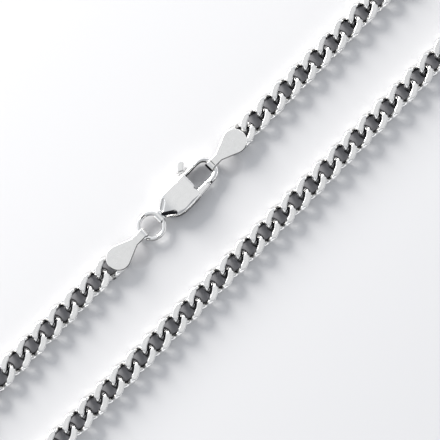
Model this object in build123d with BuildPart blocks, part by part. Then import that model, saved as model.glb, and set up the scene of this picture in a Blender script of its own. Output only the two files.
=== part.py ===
# Curb chain necklace lying on a flat surface, closed by its lobster clasp.
# Millimetres. X runs along the two long strands, Y across them, Z up from the surface.

import os
from math import acos, atan2, cos, degrees, radians, sin, sqrt, tanh

from build123d import *

os.makedirs("parts", exist_ok=True)

# The loop that the chain's middle line follows
strand_spacing = 13.5       # between the middles of the two straight strands
straight_half = 84.0        # each strand is straight this far both ways from X = 0
flare_radius = 25.0         # where a strand turns outwards before the end of the loop
bend_radius = 9.5           # the round end of the loop

# One curb link: an oval of wire, high along two quarters and low along two, its high faces ground flat
pitch = 3.48                # from link to link where the chain is pulled straight
bend_pitch = 3.32           # the links close up round the ends
wire_radius = 0.51
link_half_length = 2.43     # of the oval that the wire's middle line follows
link_half_width = 1.54
link_rise = 0.66            # how far the wire's middle rises and falls
link_plateau = 2.0          # how long it stays high or low
link_lead = 10              # degrees by which each high or low part comes before its quarter
link_thickness = 1.9        # between the two ground faces
wire_side_angle = 60        # an unground wire's upper and lower flats start here
# The ground faces lie between 14 and 68 degrees and 104 and 158, the long side between them
half_link_angles = [14, 68, 86, 104, 158, 194]

# Places along the clasp's strand, and of one link of the other strand
ring_side_link_x = -17.28   # the last link of each half, soldered to its tab
clasp_side_link_x = 11.8
front_link_x = 0.24

# Jump ring, in the same middle plane as the clasp
clasp_z = 1.2
ring_x = -8.2
ring_drop = 0.1             # it lies this far to the -Y side of the strand's middle
ring_middle_radius = 2.02
ring_wire_radius = 0.375
ring_split = 0.06           # the fine cut where it was closed
ring_split_angle = 255

# End tabs
tab_top = 2.1
tab_thickness = 0.5
tab_disc_radius = 2.0
tab_flank_angle = 69        # where the disc runs out into the taper
tab_taper_length = 3.5      # from the disc's middle to where the neck is even
tab_neck_half = 0.7
tab_edge = 0.12
tab_eye_radius = 0.9
tab_eye_wall = 0.22
tab_eye_stretch = 0.2       # the eye is this much longer than it is high
ring_side_disc_x = -15.45
ring_side_eye_x = -10.36
clasp_side_disc_x = 10.5
clasp_side_eye_x = 5.52

# Clasp body sections: x, width across, thickness before its faces are flattened, corner radius
body_sections = [
    (-5.62, 1.5, 1.2, 0.45),
    (-5.1, 2.5, 1.45, 0.5),
    (-4.45, 3.85, 1.85, 0.65),
    (-3.5, 4.8, 2.3, 0.8),
    (-2.0, 5.14, 2.5, 0.9),
    (-0.4, 5.1, 2.5, 0.95),
    (1.14, 4.8, 2.44, 0.9),
]
body_slab_length = 12        # its two faces are flat where they reach 0 and twice clasp_z
body_end_round = 0.35

# The four hollows beside the tail, each a round-ended scoop
scoop_from = (-5.35, 0.5)
scoop_to = (-4.25, 1.25)
scoop_radius = 0.5
scoop_lift = 0.22           # of its middle line above the body at that place
scoop_from_z = 0.72         # above the clasp's middle plane
scoop_to_z = 1.0

# Tail eye, its hole lying across the clasp
tail_eye_x = -6.27
tail_eye_radius = 0.84
tail_eye_wall = 0.28
tail_eye_half = 0.7

# Hook: a straight arm, a half turn, and a short straight tip
hook_x = 3.84               # centre of the half turn
hook_y = 0.12
hook_radius = 1.76
hook_tip_x = 2.6
# Arm sections: x, width in plan, thickness
arm_sections = [
    (0.7, 0.9, 2.1),
    (1.7, 0.86, 2.05),
    (2.7, 0.84, 1.95),
]
# Half turn sections: degrees (90 is the arm's side), width in plan, thickness
turn_sections = [
    (90, 0.84, 1.85),
    (45, 0.86, 1.4),
    (0, 0.9, 0.9),
    (-45, 1.02, 1.0),
    (-90, 1.0, 1.12),
]

# Lever: gate, arm and knob turn about one pivot fixed in the body's slot
pivot_x = -0.8
pivot_y = -1.45             # from the strand's middle, as all the lever's y values
pivot_radius = 0.36
pivot_play = 0.04
lever_travel = 20           # degrees
lever_thickness = 0.9       # inside the slot
lever_side_play = 0.07
lever_room = 0.1
hub_radius = 0.8
arm_angle = 64.5
arm_half = 0.35
arm_reach = 4.9             # it ends inside the knob
gate_root_radius = 1.72     # the gate is thick beyond this
gate_tip_radius = 3.67
gate_gap = 0.1
gate_thickness = 1.16
gate_inner_y = -1.2
gate_root = (0.4, -2.4)
gate_tip_outer_y = -2.22
gate_round = 0.25
gate_room_angles = (-62, 30)
gate_slot_angles = (-30, 21)
gate_slot_half = 0.4
knob_root_radius = 4.5      # the knob is a bar lying outside this, leaning out over the hook
knob_end = (2.25, 3.75)     # the middle of its far end
knob_lean = 42
knob_length = 2.2
knob_width = 1.05
knob_thickness = 1.5
knob_corner = 0.25
knob_round = 0.2

strand_y = strand_spacing / 2
link_z = link_thickness / 2
pivot = (pivot_x, strand_y + pivot_y)


def section_plane(angle):
    # Across the wire at one place round the oval, its x axis pointing outwards
    t = radians(angle)
    wave = tanh(link_plateau * sin(2 * t + radians(link_lead)))
    wave_slope = 2 * link_plateau * cos(2 * t + radians(link_lead)) * (1 - wave**2)
    rise = link_rise / tanh(link_plateau)
    middle = Vector(link_half_length * cos(t), link_half_width * sin(t), -rise * wave)
    along = Vector(-link_half_length * sin(t), link_half_width * cos(t), -rise * wave_slope)
    return Plane(origin=middle, x_dir=(along.Y, -along.X, 0), z_dir=-along)


def section_points(plane):
    # Six corners on the wire's circle, the upper and lower pairs no further out than the ground faces
    lean = plane.y_dir.Z
    unground = wire_radius * sin(radians(wire_side_angle))
    top = min(unground, (link_z - plane.origin.Z) / lean)
    bottom = min(unground, (link_z + plane.origin.Z) / lean)
    top_half = sqrt(wire_radius**2 - top**2)
    bottom_half = sqrt(wire_radius**2 - bottom**2)
    return [
        (wire_radius, 0),
        (top_half, top),
        (-top_half, top),
        (-wire_radius, 0),
        (-bottom_half, -bottom),
        (bottom_half, -bottom),
    ]


with BuildPart() as half_link:
    for angle in half_link_angles:
        plane = section_plane(angle)
        with BuildSketch(plane):
            with BuildLine():
                Polyline(*section_points(plane), close=True)
            make_face()
    loft(ruled=True)

with BuildPart() as link:
    with Locations((0, 0, 0), Location((0, 0, 0), (0, 0, 180))):
        add(half_link.part)

# Half of the loop's middle line, from the clasp's strand round +X to the other strand
flare_angle = degrees(acos((strand_y + flare_radius) / (flare_radius + bend_radius)))
with BuildLine() as half_loop:
    back_strand = Line((0, strand_y), (straight_half, strand_y))
    flare = JernArc(back_strand @ 1, back_strand % 1, flare_radius, flare_angle)
    bend = JernArc(flare @ 1, flare % 1, bend_radius, -180 - 2 * flare_angle)
    flare_in = JernArc(bend @ 1, bend % 1, flare_radius, flare_angle)
    Line(flare_in @ 1, (0, -strand_y))
half_wire = half_loop.wire()
half_length = half_wire.length


def link_place(distance, side):
    # side is 1 for the half of the loop towards +X and -1 for the other
    point = half_wire.position_at(distance, position_mode=PositionMode.LENGTH)
    along = half_wire.tangent_at(distance, position_mode=PositionMode.LENGTH)
    turn = side * degrees(atan2(along.Y, along.X))
    return Location((side * point.X, point.Y, link_z), (0, 0, turn))


def half_places(last_link, front_link, side):
    # Even steps down both straight strands, and even, closer ones round the end between them
    back_count = int((straight_half - last_link) / pitch)
    front_count = int((straight_half - front_link) / pitch)
    back = [last_link + pitch * step for step in range(1, back_count + 1)]
    front = [half_length - front_link - pitch * step for step in range(front_count, -1, -1)]
    end_count = round((front[0] - back[-1]) / bend_pitch)
    end_step = (front[0] - back[-1]) / end_count
    end = [back[-1] + end_step * step for step in range(1, end_count)]
    return [link_place(distance, side) for distance in back + end + front]


places = half_places(clasp_side_link_x, front_link_x, 1)
places += half_places(-ring_side_link_x, pitch - front_link_x, -1)
with BuildPart() as chain:
    with Locations(*places):
        add(link.part)
print("loop", round(2 * half_length, 1), "mm,", len(places), "loose links")


def make_tab(disc_x, eye_x, link_x):
    # Disc, tapered neck and curled eye, laid on half of the chain's last link and soldered to it
    reach = abs(eye_x - disc_x)
    turn = 0 if eye_x > disc_x else 180
    eye_end = reach + tab_eye_radius + tab_eye_stretch / 2
    flank = Vector(tab_disc_radius, 0).rotate(Axis.Z, tab_flank_angle)
    upper_side = [
        (flank.X, flank.Y),
        (tab_taper_length, tab_neck_half),
        (eye_end, tab_neck_half),
    ]
    lower_side = [(x, -y) for x, y in reversed(upper_side)]
    with BuildPart() as blank:
        with BuildSketch():
            Circle(tab_disc_radius)
            with BuildLine():
                Polyline((0, 0), *upper_side, *lower_side, close=True)
            make_face()
        extrude(amount=tab_top)
        chamfer(blank.edges().group_by(Axis.Z)[-1], tab_edge)
        with BuildSketch(Plane.XZ):
            with Locations((reach / 2 - tab_disc_radius, tab_top - tab_thickness / 2)):
                Rectangle(reach + 2 * tab_disc_radius, tab_thickness)
            with Locations((reach, clasp_z)):
                SlotOverall(2 * tab_eye_radius + tab_eye_stretch, 2 * tab_eye_radius)
                hole_radius = tab_eye_radius - tab_eye_wall
                SlotOverall(2 * hole_radius + tab_eye_stretch, 2 * hole_radius, mode=Mode.SUBTRACT)
        extrude(amount=2 * tab_disc_radius, both=True, mode=Mode.INTERSECT)
    with BuildPart() as tab:
        with Locations(Location((disc_x, strand_y, 0), (0, 0, turn))):
            add(blank.part)
        with Locations((link_x, strand_y, link_z)):
            add(link.part)
    return tab.part


end_tab_ring_side = make_tab(ring_side_disc_x, ring_side_eye_x, ring_side_link_x)
end_tab_clasp_side = make_tab(clasp_side_disc_x, clasp_side_eye_x, clasp_side_link_x)

with BuildPart() as jump_ring:
    with Locations((ring_x, strand_y - ring_drop, clasp_z)):
        Torus(ring_middle_radius, ring_wire_radius)
        with Locations(Location((0, 0, 0), (0, 0, ring_split_angle))):
            with Locations((ring_middle_radius, 0, 0)):
                Box(4 * ring_wire_radius, ring_split, 4 * ring_wire_radius, mode=Mode.SUBTRACT)


def across_x(x, y):
    return Plane(origin=(x, y, clasp_z), x_dir=(0, 1, 0), z_dir=(1, 0, 0))


def turn_plane(angle):
    # Across the hook at one place round its half turn, x axis pointing outwards
    t = radians(angle)
    origin = (hook_x + hook_radius * cos(t), strand_y + hook_y + hook_radius * sin(t), clasp_z)
    return Plane(origin=origin, x_dir=(cos(t), sin(t), 0), z_dir=(sin(t), -cos(t), 0))


def swept_room(from_angle, to_angle, half_width, reach):
    # Corners of the room that an arm of this half width sweeps about the pivot
    corners = [
        Vector(0, -half_width).rotate(Axis.Z, from_angle),
        Vector(reach, -half_width).rotate(Axis.Z, from_angle),
        Vector(reach, half_width).rotate(Axis.Z, to_angle),
        Vector(0, half_width).rotate(Axis.Z, to_angle),
    ]
    return [(pivot[0] + corner.X, pivot[1] + corner.Y) for corner in corners]


with BuildPart() as shell:
    for x, width, thickness, corner in body_sections:
        with BuildSketch(across_x(x, strand_y)):
            RectangleRounded(width, thickness, corner)
    loft()
    with Locations((pivot_x, strand_y, clasp_z)):
        Box(body_slab_length, body_slab_length, 2 * clasp_z, mode=Mode.INTERSECT)
    fillet(shell.edges().group_by(Axis.X)[-1], body_end_round)

with BuildPart() as hook:
    for x, width, thickness in arm_sections:
        with BuildSketch(across_x(x, strand_y + hook_y + hook_radius)):
            Ellipse(width / 2, thickness / 2)
    for angle, width, thickness in turn_sections:
        with BuildSketch(turn_plane(angle)):
            Ellipse(width / 2, thickness / 2)
    tip_angle, tip_width, tip_thickness = turn_sections[-1]
    tip_plane = turn_plane(tip_angle)
    tip_plane.origin = (hook_tip_x, tip_plane.origin.Y, clasp_z)
    with BuildSketch(tip_plane):
        Ellipse(tip_width / 2, tip_thickness / 2)
    loft()

with BuildPart() as scoop:
    for across in (1, -1):
        for up in (1, -1):
            start = Vector(scoop_from[0], strand_y + across * scoop_from[1], clasp_z)
            stop = Vector(scoop_to[0], strand_y + across * scoop_to[1], clasp_z)
            start += Vector(0, 0, up * (scoop_from_z + scoop_lift))
            stop += Vector(0, 0, up * (scoop_to_z + scoop_lift))
            with BuildSketch(Plane(origin=start, z_dir=stop - start)):
                Circle(scoop_radius)
            extrude(amount=(stop - start).length)
            with Locations(start, stop):
                Sphere(scoop_radius)

slot_height = lever_thickness + 2 * lever_side_play
with BuildPart() as clasp_body:
    add(shell.part)
    add(hook.part)
    add(scoop.part, mode=Mode.SUBTRACT)
    tail_eye = (tail_eye_x, clasp_z)
    with BuildSketch(Plane.XZ.offset(-strand_y - tail_eye_half)):
        with Locations(tail_eye):
            Circle(tail_eye_radius)
    extrude(amount=2 * tail_eye_half)
    with BuildSketch(Plane.XZ.offset(-strand_y - 2 * tail_eye_half)):
        with Locations(tail_eye):
            Circle(tail_eye_radius - tail_eye_wall)
    extrude(amount=4 * tail_eye_half, mode=Mode.SUBTRACT)
    # Room for the gate's swing, from the body to the hook's tip
    with BuildSketch():
        with Locations(pivot):
            Circle(gate_tip_radius + gate_gap)
            Circle(gate_root_radius - gate_gap, mode=Mode.SUBTRACT)
        with BuildLine():
            Polyline(*swept_room(*gate_room_angles, 0, 2 * gate_tip_radius)[1:], close=True)
        make_face(mode=Mode.INTERSECT)
    extrude(amount=2 * clasp_z, mode=Mode.SUBTRACT)
    # Slot in the body's middle for the lever's whole travel, and the pivot across it
    with BuildSketch(Plane.XY.offset(clasp_z - slot_height / 2)):
        with Locations(pivot):
            Circle(hub_radius + lever_room)
        with BuildLine():
            arm_angles = (arm_angle, arm_angle + lever_travel)
            Polyline(*swept_room(*arm_angles, arm_half + lever_room, knob_root_radius), close=True)
        make_face()
        with BuildLine():
            Polyline(*swept_room(*gate_slot_angles, gate_slot_half, gate_tip_radius), close=True)
        make_face()
    extrude(amount=slot_height, mode=Mode.SUBTRACT)
    with BuildSketch(Plane.XY.offset(clasp_z - slot_height)):
        with Locations(pivot):
            Circle(pivot_radius)
    extrude(amount=2 * slot_height)

with BuildPart() as gate:
    gate_outline = [
        (pivot[0], strand_y + gate_inner_y),
        (pivot[0] + gate_tip_radius, strand_y + gate_inner_y),
        (pivot[0] + gate_tip_radius, strand_y + gate_tip_outer_y),
        (gate_root[0], strand_y + gate_root[1]),
        (pivot[0], pivot[1] - hub_radius / 2),
    ]
    with BuildSketch(Plane.XY.offset(clasp_z - gate_thickness / 2)):
        with BuildLine():
            Polyline(*gate_outline, close=True)
        make_face()
        with Locations(pivot):
            Circle(gate_tip_radius, mode=Mode.INTERSECT)
            Circle(gate_root_radius, mode=Mode.SUBTRACT)
    extrude(amount=gate_thickness)
    fillet(gate.edges().filter_by(GeomType.LINE).filter_by(Axis.Z, reverse=True), gate_round)

with BuildPart() as knob:
    with BuildSketch(Plane.XY.offset(clasp_z - knob_thickness / 2)):
        with Locations(Location((knob_end[0], strand_y + knob_end[1]), (0, 0, knob_lean))):
            with Locations((-knob_length / 2, 0)):
                RectangleRounded(knob_length, knob_width, knob_corner)
        with Locations(pivot):
            Circle(knob_root_radius, mode=Mode.SUBTRACT)
    extrude(amount=knob_thickness)
    fillet(knob.edges().filter_by(Axis.Z, reverse=True), knob_round)

with BuildPart() as clasp_lever:
    with BuildSketch(Plane.XY.offset(clasp_z - lever_thickness / 2)):
        with BuildLine():
            Polyline(*gate_outline, close=True)
        make_face()
        with Locations(pivot):
            Circle(gate_root_radius + gate_gap, mode=Mode.INTERSECT)
            Circle(hub_radius)
        with BuildLine():
            Polyline(*swept_room(arm_angle, arm_angle, arm_half, arm_reach), close=True)
        make_face()
        with Locations(pivot):
            Circle(pivot_radius + pivot_play, mode=Mode.SUBTRACT)
    extrude(amount=lever_thickness)
    add(gate.part)
    add(knob.part)

nodes = {
    "chain": chain.part,
    "end_tab_ring_side": end_tab_ring_side,
    "end_tab_clasp_side": end_tab_clasp_side,
    "jump_ring": jump_ring.part,
    "clasp_body": clasp_body.part,
    "clasp_lever": clasp_lever.part,
}
for name, node in nodes.items():
    node.label = name
    export_step(node, f"parts/{name}.step")
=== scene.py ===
# Curb chain necklace: fine shapes, silver finishes and a plain studio round the fixed frame
import random
from math import acos, asin, copysign, cos, pi, radians, sin, tanh

import bpy
from mathutils import Matrix, Vector


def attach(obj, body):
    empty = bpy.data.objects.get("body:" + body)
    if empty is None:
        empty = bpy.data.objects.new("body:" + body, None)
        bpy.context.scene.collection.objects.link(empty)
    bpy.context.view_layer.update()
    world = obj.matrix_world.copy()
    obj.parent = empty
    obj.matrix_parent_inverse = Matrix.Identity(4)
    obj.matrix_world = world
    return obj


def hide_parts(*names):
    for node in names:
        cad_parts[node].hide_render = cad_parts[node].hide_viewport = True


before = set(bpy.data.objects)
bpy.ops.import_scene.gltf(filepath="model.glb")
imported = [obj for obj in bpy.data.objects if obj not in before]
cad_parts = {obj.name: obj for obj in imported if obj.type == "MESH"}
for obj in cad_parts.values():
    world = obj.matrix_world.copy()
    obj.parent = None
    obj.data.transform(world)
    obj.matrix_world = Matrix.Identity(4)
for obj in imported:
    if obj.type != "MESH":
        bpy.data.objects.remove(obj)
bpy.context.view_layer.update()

mm = 0.001
body = "necklace"
print("frame loaded")


# Shader sums

class Flow:  # one output socket that takes part in sums
    def __init__(self, board, socket):
        self.board = board
        self.socket = socket

    def sum(self, operation, first, second=None):
        inputs = {0: first} if second is None else {0: first, 1: second}
        return self.board.add("ShaderNodeMath", {"operation": operation}, inputs)

    def __add__(self, other):
        return self.sum("ADD", self, other)

    def __sub__(self, other):
        return self.sum("SUBTRACT", self, other)

    def __rsub__(self, other):
        return self.sum("SUBTRACT", other, self)

    def __mul__(self, other):
        return self.sum("MULTIPLY", self, other)

    def __truediv__(self, other):
        return self.sum("DIVIDE", self, other)

    def __rtruediv__(self, other):
        return self.sum("DIVIDE", other, self)

    def __pow__(self, other):
        return self.sum("POWER", self, other)

    def __neg__(self):
        return self.sum("MULTIPLY", self, -1.0)

    __radd__ = __add__
    __rmul__ = __mul__

    def size(self):
        return self.sum("ABSOLUTE", self)

    def clamped(self):
        return self.board.add("ShaderNodeClamp", {}, {0: self})

    def stretched(self, low, high):  # low..high becomes 0..1, clamped
        inputs = {"Value": self, "From Min": low, "From Max": high}
        return self.board.add("ShaderNodeMapRange", {"clamp": True}, inputs)


class Board:  # a node tree, and the one way that nodes get into it
    def __init__(self, tree):
        self.tree = tree
        tree.nodes.clear()

    def add(self, kind, settings=None, inputs=None, output=0):
        node = self.tree.nodes.new(kind)
        for name, value in (settings or {}).items():
            if name == "stops":
                self.setStops(node.color_ramp, value)
            else:
                setattr(node, name, value)
        for key, value in (inputs or {}).items():
            if isinstance(value, Flow):
                self.tree.links.new(value.socket, node.inputs[key])
            else:
                node.inputs[key].default_value = value
        return Flow(self, node.outputs[output]) if len(node.outputs) else node

    def setStops(self, ramp, stops):
        while len(ramp.elements) < len(stops):
            ramp.elements.new(0.5)
        for element, (place, colour) in zip(ramp.elements, stops):
            element.position = place
            element.color = colour

    def mixColours(self, share, first, second):
        inputs = {0: share, 6: first, 7: second}
        return self.add("ShaderNodeMix", {"data_type": "RGBA"}, inputs, output=2)

    def scaled(self, vector, factors):
        settings = {"operation": "MULTIPLY"}
        return self.add("ShaderNodeVectorMath", settings, {0: vector, 1: factors})

    def noise(self, vector, scale, detail, roughness):
        inputs = {"Vector": vector, "Scale": scale, "Detail": detail, "Roughness": roughness}
        return self.add("ShaderNodeTexNoise", {}, inputs)


# The loop that the chain follows, in mm

chain = {
    "strandSpacing": 13.5,
    "straightHalf": 84.0,
    "flareRadius": 25.0,
    "bendRadius": 9.5,
    "pitch": 3.48,
    "bendPitch": 3.32,
    "ringSideLink": -17.28,
    "claspSideLink": 11.8,
    "frontLink": 0.24,
    "seed": 41,
}

# Camera, light and floor

camera = {
    "place": (-21.264, -7.716, 299.987),  # mm
    "look": (0.07119, 0.02449, -0.99716),
    "up": (0.70873, 0.70221, 0.06785),
    "lens": 155.32,
    "sensor": 36.0,
    "clip": (0.01, 10.0),                 # m
}

key = {
    "height": 22.0,    # degrees above the floor
    "round": 90.0,     # degrees from +X, the light's side
    "distance": 0.60,  # m, as are its width and depth
    "width": 0.26,
    "depth": 0.28,
    "power": 6.3,      # W
    "colour": (1.0, 0.975, 0.945),
}

sky = {
    "low": (1.30, 1.32, 1.36, 1),
    "sides": (0.50, 0.518, 0.55, 1),
    "overhead": (0.79, 0.80, 0.815, 1),
    # Heights of the three bands, from 0 at the level of the eye to 1 overhead
    "lowEnd": 0.3,
    "sidesStart": 0.5,
    "sidesEnd": 0.86,
    "overheadStart": 0.96,
    "keySide": 1.4,           # of the brightness, towards the light and away from it
    "farSide": 0.6,
    "sideReach": 0.8,         # the two differ fully this far out
    "sideRise": (0.25, 0.5),  # and this high
}

floor = {
    "half": 1.2,
    "colour": (0.70, 0.702, 0.712, 1),
    "roughness": 0.75,
    "specular": 0.2,
    "shade": (0.27, 0.27, 0.285, 1),  # the floor as seen through the links
    "shadeReach": (1.15, 1.75),       # mm from a strand's middle
    "endFade": 8.0,                   # mm, towards the ends of the strands
    "claspFade": (-1.2, -0.4),        # mm past the links that are soldered to the tabs
    "strandFade": 1.0,                # mm to both sides of Y = 0
    "poolFade": (1.0, 0.3),           # squares of shares of a pool's size
    # Pools of shade inside the ring and the hook and beside the tabs' necks:
    # x, y, half length, half width, depth
    "pools": [
        (-8.2, 6.65, 1.9, 1.9, 0.50),
        (2.9, 6.9, 1.9, 1.5, 0.50),
        (-12.6, 4.7, 2.4, 2.1, 0.42),
        (7.5, 4.6, 2.2, 2.1, 0.42),
    ],
}


def makeCamera():
    data = bpy.data.cameras.new("camera")
    data.sensor_width = camera["sensor"]
    data.lens = camera["lens"]
    data.clip_start, data.clip_end = camera["clip"]
    shot = bpy.data.objects.new("camera", data)
    back = -Vector(camera["look"]).normalized()
    right = Vector(camera["up"]).cross(back).normalized()
    up = back.cross(right)
    turn = Matrix((right, up, back)).transposed().to_4x4()
    shot.matrix_world = Matrix.Translation(Vector(camera["place"]) * mm) @ turn
    bpy.context.collection.objects.link(shot)
    bpy.context.scene.camera = shot


def makeKey():
    data = bpy.data.lights.new("key", "AREA")
    data.shape = "RECTANGLE"
    data.size, data.size_y = key["width"], key["depth"]
    data.energy = key["power"]
    data.color = key["colour"]
    lamp = bpy.data.objects.new("key", data)
    lift, way = radians(key["height"]), radians(key["round"])
    away = Vector((cos(lift) * cos(way), cos(lift) * sin(way), sin(lift)))
    lamp.location = away * key["distance"]
    lamp.rotation_mode = "QUATERNION"
    lamp.rotation_quaternion = away.to_track_quat("Z", "Y")
    bpy.context.collection.objects.link(lamp)


def makeSky():
    world = bpy.data.worlds.new("studio")
    bpy.context.scene.world = world
    world.use_nodes = True
    board = Board(world.node_tree)
    way = board.add("ShaderNodeTexCoord", output="Generated")
    height = board.add("ShaderNodeSeparateXYZ", inputs={0: way}, output="Z")
    across = board.add("ShaderNodeSeparateXYZ", inputs={0: way}, output="Y")
    towardsKey = across.stretched(-sky["sideReach"], sky["sideReach"])
    change = sky["farSide"] - 1 + (sky["keySide"] - sky["farSide"]) * towardsKey
    strength = 1.0 + change * height.stretched(*sky["sideRise"])
    grey = board.add("ShaderNodeCombineXYZ", inputs={0: strength, 1: strength, 2: strength})
    stops = [(0.0, sky["low"]), (sky["lowEnd"], sky["low"])]
    stops += [(sky["sidesStart"], sky["sides"]), (sky["sidesEnd"], sky["sides"])]
    stops += [(sky["overheadStart"], sky["overhead"])]
    colour = board.add("ShaderNodeValToRGB", {"stops": stops}, {0: height.clamped()})
    background = board.add("ShaderNodeBackground", inputs={"Color": board.scaled(colour, grey)})
    board.add("ShaderNodeOutputWorld", inputs={"Surface": background})


def makeFloor():
    half = floor["half"]
    mesh = bpy.data.meshes.new("floor")
    corners = [(-half, -half, 0), (half, -half, 0), (half, half, 0), (-half, half, 0)]
    mesh.from_pydata(corners, [], [(0, 1, 2, 3)])
    sheet = bpy.data.objects.new("floor", mesh)
    bpy.context.collection.objects.link(sheet)
    material = bpy.data.materials.new("paleFloor")
    material.use_nodes = True
    board = Board(material.node_tree)
    place = board.scaled(board.add("ShaderNodeTexCoord", output="Object"), (1000, 1000, 1000))
    x = board.add("ShaderNodeSeparateXYZ", inputs={0: place}, output="X")
    y = board.add("ShaderNodeSeparateXYZ", inputs={0: place}, output="Y")
    near, far = floor["shadeReach"]
    strandShade = (y.size() - chain["strandSpacing"] / 2).size().stretched(far, near)
    alongX = x.size().stretched(chain["straightHalf"], chain["straightHalf"] - floor["endFade"])
    middle = (chain["ringSideLink"] + chain["claspSideLink"]) / 2
    reach = (chain["claspSideLink"] - chain["ringSideLink"]) / 2
    pastClasp = ((x - middle).size() - reach).stretched(*floor["claspFade"])
    frontStrand = (-y).stretched(-floor["strandFade"], floor["strandFade"])
    shade = strandShade * alongX * (pastClasp + frontStrand).clamped()
    for poolX, poolY, halfLength, halfWidth, depth in floor["pools"]:
        inside = ((x - poolX) / halfLength) ** 2.0 + ((y - poolY) / halfWidth) ** 2.0
        shade = shade + depth * inside.stretched(*floor["poolFade"])
    colour = board.mixColours(shade, floor["colour"], floor["shade"])
    inputs = {"Base Color": colour, "Roughness": floor["roughness"]}
    inputs["Specular IOR Level"] = floor["specular"]
    surface = board.add("ShaderNodeBsdfPrincipled", inputs=inputs)
    board.add("ShaderNodeOutputMaterial", inputs={"Surface": surface})
    mesh.materials.append(material)


bpy.context.scene.view_settings.view_transform = "Standard"
makeCamera()
makeKey()
makeSky()
makeFloor()
print("camera, light and floor made")


# Silver

polished = {
    "colour": (0.93, 0.925, 0.91, 1),
    # the colour of the painted shade and painted dark reflections
    "paintedDark": (0.02, 0.02, 0.022, 1),
    "hollow": 0.97,        # how dark the painted shade in the recesses goes
    "roughness": (0.10, 0.24),
    "clouds": 1.1,         # per mm
    "scratches": (0.9, 16.0, 16.0),
    "scratchDepth": 0.10,
    "dulling": 0.55,
}
ground = {
    "colour": (0.95, 0.943, 0.93, 1),
    # the colour of the painted shade and painted dark reflections
    "paintedDark": (0.02, 0.02, 0.022, 1),
    "hollow": 0.0,
    "roughness": (0.22, 0.36),
    "clouds": 1.6,
    "scratches": (1.4, 22.0, 22.0),
    "scratchDepth": 0.22,
    "dulling": 0.55,
}
satin = dict(ground, roughness=(0.26, 0.40), scratchDepth=0.3, walls=(0.25, 0.42))
satin["colour"] = (0.90, 0.895, 0.88, 1)
cast = dict(polished, roughness=(0.20, 0.27), scratchDepth=0.08, dulling=0.25, walls=(0.5, 0.8))
metal = {  # what all the finishes share
    "cloudRange": (0.35, 0.65),
    "markRange": (0.42, 0.62),
    "cloudShare": 0.65,          # of the roughness; the fine marks have the rest
    "dullRange": (0.4, 0.75),
    "dullTone": 0.86,            # of the colour's brightness
    "linkTones": 0.45,           # how far the links differ
    # how dark the painted shade on faces turned away from the light goes
    "wallDark": 0.9,
    "shadeSide": (-0.5, -0.87),  # x, y of the direction away from the light
    "maskCore": 0.55,            # of a painted reflection's reach, fully dark
    "bumpDepth": 0.00004,        # m
}

# Painted dark reflections, where the metal mirrors the dark: x, y of two ends, and how far round
# them, in mm
claspPaintedReflections = [
    ((-5.6, 6.65), (-4.1, 5.38), 0.4),
    ((3.36, 4.83), (3.37, 4.84), 0.20),
]
tabPaintedReflections = [
    ((4.66, 6.1), (4.66, 7.4), 0.14),
    ((5.62, 6.3), (5.62, 7.3), 0.07),
]
ringPaintedReflections = [
    ((-8.45, 8.68), (-7.8, 8.70), 0.16),
    ((-10.2, 5.75), (-9.85, 5.35), 0.12),
    ((-8.75, 4.62), (-8.70, 4.63), 0.13),
]


def paintedReflectionMask(board, place, hollows):
    x = board.add("ShaderNodeSeparateXYZ", inputs={0: place}, output="X")
    y = board.add("ShaderNodeSeparateXYZ", inputs={0: place}, output="Y")
    whole = None
    for (startX, startY), (stopX, stopY), reach in hollows:
        runX, runY = stopX - startX, stopY - startY
        share = (((x - startX) * runX + (y - startY) * runY) / (runX**2 + runY**2)).clamped()
        gap = ((x - startX - share * runX) ** 2.0 + (y - startY - share * runY) ** 2.0) ** 0.5
        mask = gap.stretched(reach, reach * metal["maskCore"])
        whole = mask if whole is None else whole + mask
    return whole.clamped()


def shadedWalls(board, start, whole):
    # steep faces turned away from the light
    normal = board.add("ShaderNodeTexCoord", output="Normal")
    x = board.add("ShaderNodeSeparateXYZ", inputs={0: normal}, output="X")
    y = board.add("ShaderNodeSeparateXYZ", inputs={0: normal}, output="Y")
    awayX, awayY = metal["shadeSide"]
    return (awayX * x + awayY * y).stretched(start, whole)


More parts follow.
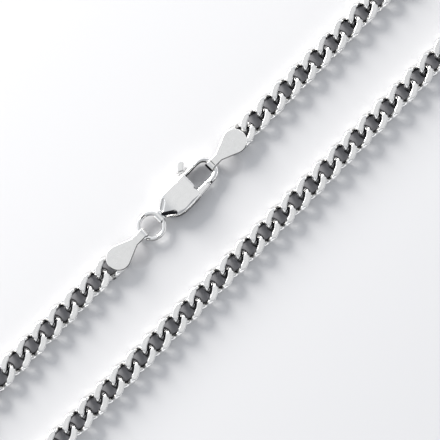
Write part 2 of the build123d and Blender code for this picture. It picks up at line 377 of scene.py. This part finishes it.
def silver(name, finish, onLinks=False, hollows=None):
    material = bpy.data.materials.new(name)
    material.use_nodes = True
    board = Board(material.node_tree)
    if onLinks:
        place = board.add("ShaderNodeAttribute", {"attribute_name": "linkPlace"}, output="Vector")
        hollow = board.add("ShaderNodeAttribute", {"attribute_name": "hollow"}, output="Fac")
        tone = board.add("ShaderNodeAttribute", {"attribute_name": "linkTone"}, output="Fac")
    else:
        place = board.scaled(board.add("ShaderNodeTexCoord", output="Object"), (1000, 1000, 1000))
    clouds = board.noise(place, finish["clouds"], detail=4.0, roughness=0.55)
    grain = board.scaled(place, finish["scratches"])
    fine = board.noise(grain, scale=1.0, detail=3.0, roughness=0.6)
    marks = (1 - metal["cloudShare"]) * fine.stretched(*metal["markRange"])
    low, high = finish["roughness"]
    play = metal["cloudShare"] * clouds.stretched(*metal["cloudRange"]) + marks
    roughness = low + (high - low) * play
    colour = finish["colour"]
    dull = tuple(metal["dullTone"] * value for value in colour[:3]) + (1,)
    share = finish["dulling"] * clouds.stretched(*metal["dullRange"])
    if onLinks:
        share = share + metal["linkTones"] * tone
    colour = board.mixColours(share.clamped(), colour, dull)
    # painted shade in the links' recesses and where the wire dives under its neighbour
    if onLinks and finish["hollow"]:
        colour = board.mixColours((hollow * finish["hollow"]).clamped(), colour, finish["paintedDark"])
    # painted shade on steep faces turned away from the light, and painted dark reflections at the
    # given places
    if hollows is not None:
        dark = metal["wallDark"] * shadedWalls(board, *finish["walls"])
        if hollows:
            dark = dark + paintedReflectionMask(board, place, hollows)
        colour = board.mixColours(dark.clamped(), colour, finish["paintedDark"])
    inputs = {"Height": fine, "Strength": finish["scratchDepth"], "Distance": metal["bumpDepth"]}
    normal = board.add("ShaderNodeBump", inputs=inputs)
    inputs = {"Base Color": colour, "Roughness": roughness, "Metallic": 1.0, "Normal": normal}
    surface = board.add("ShaderNodeBsdfPrincipled", inputs=inputs)
    board.add("ShaderNodeOutputMaterial", inputs={"Surface": surface})
    return material


wireSilver = silver("wireSilver", polished, onLinks=True)
groundSilver = silver("groundSilver", ground, onLinks=True)
tabSilver = silver("tabSilver", satin, hollows=tabPaintedReflections)
claspSilver = silver("claspSilver", cast, hollows=claspPaintedReflections)
ringSilver = silver("ringSilver", dict(cast, roughness=(0.05, 0.10)), hollows=ringPaintedReflections)
print("silver mixed")


# Chain

link = {
    "halfLength": 2.34,
    "halfWidth": 1.53,
    "squareness": 1.08,    # above 1 the oval's sides run straighter
    "twist": 0.72,
    "plateau": 2.0,        # how long the wire stays high or low
    "lead": 10.0,          # degrees by which the high part starts before the quarter
    "wire": 0.505,
    "halfThickness": 0.95,
    "flatSteps": 8,        # rings of points along each ground flat
    "sideSteps": 4,        # and between two flats
    "probe": 0.03,         # angle to both sides over which the wire's direction is taken
    "halvings": 30,        # of the angle while a flat's edge is looked for
    "rim": 0.15,           # the soft edge of a flat
    "roundOver": 0.35,     # the wire is fully round where the cut passes this far above it
    # Painted shade in the links' recesses and where the wire dives:
    "recessStart": (0.2, 0.35),    # towards the link's inside, for high and low wire
    "recessSpread": 0.35,
    "recessHeight": (0.75, 0.25),  # its upper end, and how far this follows the wire down
    "tipReach": (0.72, 0.86),      # the painted shade where the wire dives at the link's ends
    "tipDepth": 0.45,
    "turn": 0.9,           # degrees, either way at random
    "tip": 0.6,            # of the turn
    "shift": 0.007,
    "lift": 0.017,         # clear of the floor when a link is tipped
    "grainShift": 40.0,    # how far apart in the noise two links lie
}
# Points round the wire: five on its right, three on top, five on its left, three below
ringPoints = 16
topSides, footSides = range(4, 8), range(12, 16)
strandY = chain["strandSpacing"] / 2


def wireCentre(angle):
    c, s = cos(angle), sin(angle)
    x = link["halfLength"] * copysign(abs(c) ** link["squareness"], c)
    y = link["halfWidth"] * copysign(abs(s) ** link["squareness"], s)
    rise = tanh(link["plateau"] * sin(2 * angle + radians(link["lead"]))) / tanh(link["plateau"])
    return Vector((x, y, -link["twist"] * rise))


def wireFrame(angle):
    # centre, outward and upward directions of the wire at this angle round the oval
    along = (wireCentre(angle + link["probe"]) - wireCentre(angle - link["probe"])).normalized()
    outward = Vector((along.y, -along.x, 0)).normalized()
    return wireCentre(angle), outward, outward.cross(along)


def cutRatio(angle):
    # how high the nearer ground face lies above the wire's middle, in wire radii
    centre, outward, upward = wireFrame(angle)
    return (link["halfThickness"] - abs(centre.z)) / upward.z / link["wire"]


def cutEdge(outside, inside):
    # the angle between these two where the ground flat begins
    for step in range(link["halvings"]):
        middle = (outside + inside) / 2
        outside, inside = (middle, inside) if cutRatio(middle) > 1 else (outside, middle)
    return inside


def linkAngles():
    edges = []
    for quarter in range(5):
        base = quarter * pi / 2 - radians(link["lead"]) / 2
        edges.append((cutEdge(base, base + pi / 4), cutEdge(base + pi / 2, base + pi / 4)))
    angles = []
    flat, side = link["flatSteps"], link["sideSteps"]
    for (start, end), (following, ignored) in zip(edges, edges[1:]):
        angles += [start + (end - start) * n / flat for n in range(flat)]
        angles += [end + (following - end) * n / side for n in range(side)]
    return angles


def eased(value, low, high):
    share = max(0.0, min(1.0, (value - low) / (high - low)))
    return share * share * (3 - 2 * share)


def capPoints(ratio):
    # corner angle and the three points between the two corners, for one face of the wire
    radius = link["wire"]
    if ratio < 1:
        corner = asin(max(ratio, 0.0))
        half = radius * cos(corner)
        rim = min(link["rim"], half / 2)
        return corner, [(x, radius * ratio) for x in (half - rim, 0.0, rim - half)]
    corner = pi / 2 - pi / 4 * eased(ratio, 1.0, 1.0 + link["roundOver"])
    spread = pi / 2 - corner
    between = [pi / 2 - spread / 2, pi / 2, pi / 2 + spread / 2]
    return corner, [(radius * cos(turn), radius * sin(turn)) for turn in between]


def wireRing(angle):
    # the points round the wire, and how much painted shade each gets, by how deep in a recess it
    # lies
    centre, outward, upward = wireFrame(angle)
    radius = link["wire"]
    topCorner, topBetween = capPoints((link["halfThickness"] - centre.z) / upward.z / radius)
    footCorner, footBetween = capPoints((link["halfThickness"] + centre.z) / upward.z / radius)
    turns = [-footCorner + (topCorner + footCorner) * n / 4 for n in range(5)]
    right = [(radius * cos(turn), radius * sin(turn)) for turn in turns]
    left = [(-x, y) for x, y in reversed(right)]
    flat = right + topBetween + left + [(-x, -y) for x, y in footBetween]
    points = [centre + outward * x + upward * y for x, y in flat]
    upper, follow = link["recessHeight"]
    upper -= follow * centre.z / link["twist"]
    highStart, lowStart = link["recessStart"]
    start = highStart + (lowStart - highStart) * eased(-centre.z, 0.0, link["twist"])
    spread = link["recessSpread"]
    buried = eased(abs(centre.x) / link["halfLength"], *link["tipReach"])
    buried *= eased(-centre.z, -link["tipDepth"], 0.0)
    hollows = []
    for x, y in flat:
        inside = eased(-x / radius, start, start + spread)
        below = eased(upper - y / radius, 0.0, spread)
        hollows.append(max(inside * below, buried))
    return points, hollows


def linkParts():
    angles = linkAngles()
    points, hollows, faces, flats = [], [], [], []
    for angle in angles:
        ring, depth = wireRing(angle)
        points += ring
        hollows += depth
    for n in range(len(angles)):
        quarter, step = divmod(n, link["flatSteps"] + link["sideSteps"])
        groundSides = topSides if quarter % 2 else footSides
        here, there = n * ringPoints, (n + 1) % len(angles) * ringPoints
        for side in range(ringPoints):
            after = (side + 1) % ringPoints
            faces.append((here + side, there + side, there + after, here + after))
            flats.append(step < link["flatSteps"] and side in groundSides)
    return points, hollows, faces, flats


def loopPlace(distance):
    # point and heading on half of the loop, from the clasp's strand round +X to the other strand
    flare, bend = chain["flareRadius"], chain["bendRadius"]
    flareTurn = acos((strandY + flare) / (flare + bend))
    runs = [(chain["straightHalf"], 0), (flare * flareTurn, 1 / flare)]
    runs += [(bend * (pi + 2 * flareTurn), -1 / bend), (flare * flareTurn, 1 / flare)]
    runs += [(chain["straightHalf"], 0)]
    x, y, heading = 0.0, strandY, 0.0
    for length, curve in runs:
        step = min(distance, length)
        if curve:
            after = heading + step * curve
            x += (sin(after) - sin(heading)) / curve
            y -= (cos(after) - cos(heading)) / curve
            heading = after
        else:
            x += step * cos(heading)
            y += step * sin(heading)
        distance -= step
        if distance <= 0:
            break
    return x, y, heading


def loopLength():
    flare, bend = chain["flareRadius"], chain["bendRadius"]
    flareTurn = acos((strandY + flare) / (flare + bend))
    return 2 * chain["straightHalf"] + 2 * flare * flareTurn + bend * (pi + 2 * flareTurn)


def halfPlaces(lastLink, frontLink, side):
    pitch, straight, whole = chain["pitch"], chain["straightHalf"], loopLength()
    backCount = int((straight - lastLink) / pitch)
    frontCount = int((straight - frontLink) / pitch)
    back = [lastLink + pitch * n for n in range(1, backCount + 1)]
    front = [whole - frontLink - pitch * n for n in range(frontCount, -1, -1)]
    endCount = round((front[0] - back[-1]) / chain["bendPitch"])
    endStep = (front[0] - back[-1]) / endCount
    end = [back[-1] + endStep * n for n in range(1, endCount)]
    places = []
    for distance in back + end + front:
        x, y, heading = loopPlace(distance)
        places.append((side * x, y, side * heading))
    return places


class MeshPile:  # gathers points and faces of many copies into one mesh
    def __init__(self):
        self.points, self.faces, self.slots = [], [], []
        self.places, self.hollows, self.tones = [], [], []

    def addLink(self, parts, place, turn, draw):
        points, hollows, faces, flats = parts
        start = len(self.points)
        far = link["grainShift"]
        offset = Vector([draw.uniform(-far, far) for axis in range(3)])
        tone = draw.random()
        for point, hollow in zip(points, hollows):
            self.points.append(place + turn @ point)
            self.places.append(point + offset)
            self.hollows.append(hollow)
            self.tones.append(tone)
        for face, flat in zip(faces, flats):
            self.faces.append(tuple(start + n for n in face))
            self.slots.append(1 if flat else 0)

    def build(self, name, materials):
        mesh = bpy.data.meshes.new(name)
        mesh.from_pydata([point * mm for point in self.points], [], self.faces)
        for material in materials:
            mesh.materials.append(material)
        mesh.polygons.foreach_set("material_index", self.slots)
        mesh.polygons.foreach_set("use_smooth", [True] * len(self.faces))
        place = mesh.attributes.new("linkPlace", "FLOAT_VECTOR", "POINT")
        place.data.foreach_set("vector", [value for point in self.places for value in point])
        for label, values in (("hollow", self.hollows), ("linkTone", self.tones)):
            mesh.attributes.new(label, "FLOAT", "POINT").data.foreach_set("value", values)
        mesh.validate()
        piece = bpy.data.objects.new(name, mesh)
        bpy.context.collection.objects.link(piece)
        return piece


def makeTabLinks(draw, parts):
    # the last link of each half, soldered under its tab
    ends = {"end_tab_ring_side": "ringSideLink", "end_tab_clasp_side": "claspSideLink"}
    for node, end in ends.items():
        pile = MeshPile()
        place = Vector((chain[end], strandY, link["halfThickness"] + link["lift"]))
        pile.addLink(parts, place, Matrix.Identity(3), draw)
        piece = pile.build(node + "_link", [wireSilver, groundSilver])
        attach(piece, body)


def makeChain():
    draw = random.Random(chain["seed"])
    parts = linkParts()
    makeTabLinks(draw, parts)
    places = halfPlaces(chain["claspSideLink"], chain["frontLink"], 1)
    places += halfPlaces(-chain["ringSideLink"], chain["pitch"] - chain["frontLink"], -1)
    pile = MeshPile()
    wobble, shift = radians(link["turn"]), link["shift"]
    for x, y, heading in places:
        turn = Matrix.Rotation(heading + draw.uniform(-wobble, wobble), 3, "Z")
        turn = turn @ Matrix.Rotation(draw.uniform(-wobble, wobble) * link["tip"], 3, "X")
        x, y = x + draw.uniform(-shift, shift), y + draw.uniform(-shift, shift)
        place = Vector((x, y, link["halfThickness"] + link["lift"]))
        pile.addLink(parts, place, turn, draw)
    piece = pile.build("curbLinks", [wireSilver, groundSilver])
    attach(piece, body)
    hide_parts("chain")
    print(len(places), "links laid")


makeChain()


# Solids kept from the frame

finishes = {
    "end_tab_ring_side": tabSilver,
    "end_tab_clasp_side": tabSilver,
    "clasp_body": claspSilver,
    "clasp_lever": claspSilver,
    "jump_ring": ringSilver,
}
for node, material in finishes.items():
    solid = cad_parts[node]
    solid.data.materials.clear()
    solid.data.materials.append(material)
print("solids finished")
